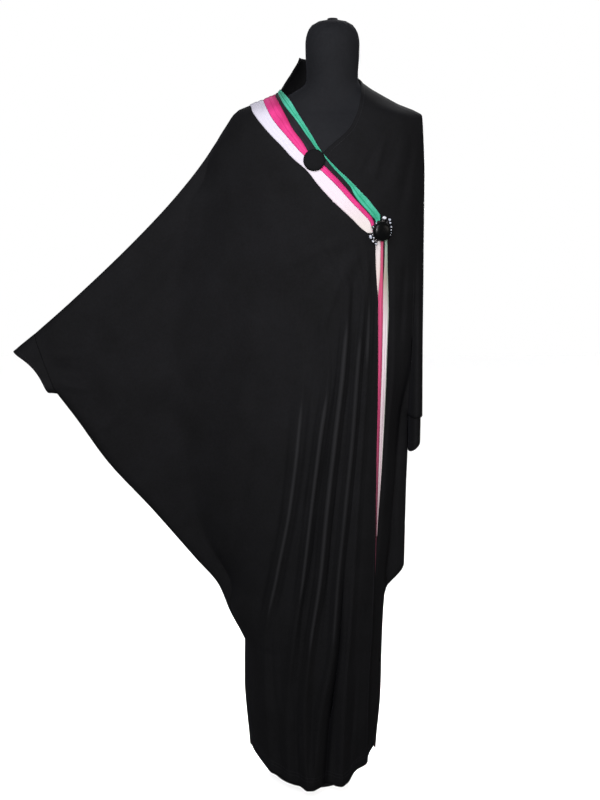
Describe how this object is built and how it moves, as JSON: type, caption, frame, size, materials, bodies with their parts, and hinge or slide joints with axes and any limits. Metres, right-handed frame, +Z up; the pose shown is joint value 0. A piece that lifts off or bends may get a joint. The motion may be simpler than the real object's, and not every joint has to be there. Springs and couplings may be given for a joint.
{
  "type": "batwing kaftan on a limbless dress form",
  "caption": "Black jersey wrap kaftan with one spread and one hanging batwing sleeve, ribbon trim and brooch, worn by a limbless dress form on an oval base.",
  "frame": {"origin": "on the floor under the pole of the dress form", "axes": "+Z up, -Y out of the garment's front, -X along the spread sleeve"},
  "size_m": [0.8759, 0.3348, 1.656],
  "materials": {
    "black_jersey": "matte knit",
    "charcoal_jersey": "matte stretched cover",
    "white_ribbon": "soft knit",
    "pink_ribbon": "soft knit",
    "charcoal_ribbon": "soft knit",
    "green_ribbon": "soft knit",
    "mint_ribbon": "soft knit",
    "black_glass": "polished",
    "clear_stone": "faceted, clear over silver",
    "black_steel": "satin black"
  },
  "bodies": {
    "root": {"front_wrap": "black_jersey", "front_under": "black_jersey", "back": "black_jersey", "cuff_right": "black_jersey", "cuff_left": "black_jersey", "band_white": "white_ribbon", "band_pink": "pink_ribbon", "band_charcoal": "charcoal_ribbon", "band_green": "green_ribbon", "tail_white": "white_ribbon", "tail_pink": "pink_ribbon", "tail_mint": "mint_ribbon", "button": "black_jersey", "brooch_plate": "black_steel", "brooch_dome": "black_glass", "stone_upper_1": "clear_stone", "stone_upper_2": "clear_stone", "stone_upper_3": "clear_stone", "stone_upper_4": "clear_stone", "stone_lower_1": "clear_stone", "stone_lower_2": "clear_stone", "stone_lower_3": "clear_stone", "form": "charcoal_jersey", "pole": "black_steel", "base": "black_steel"}
  },
  "joints": []
}
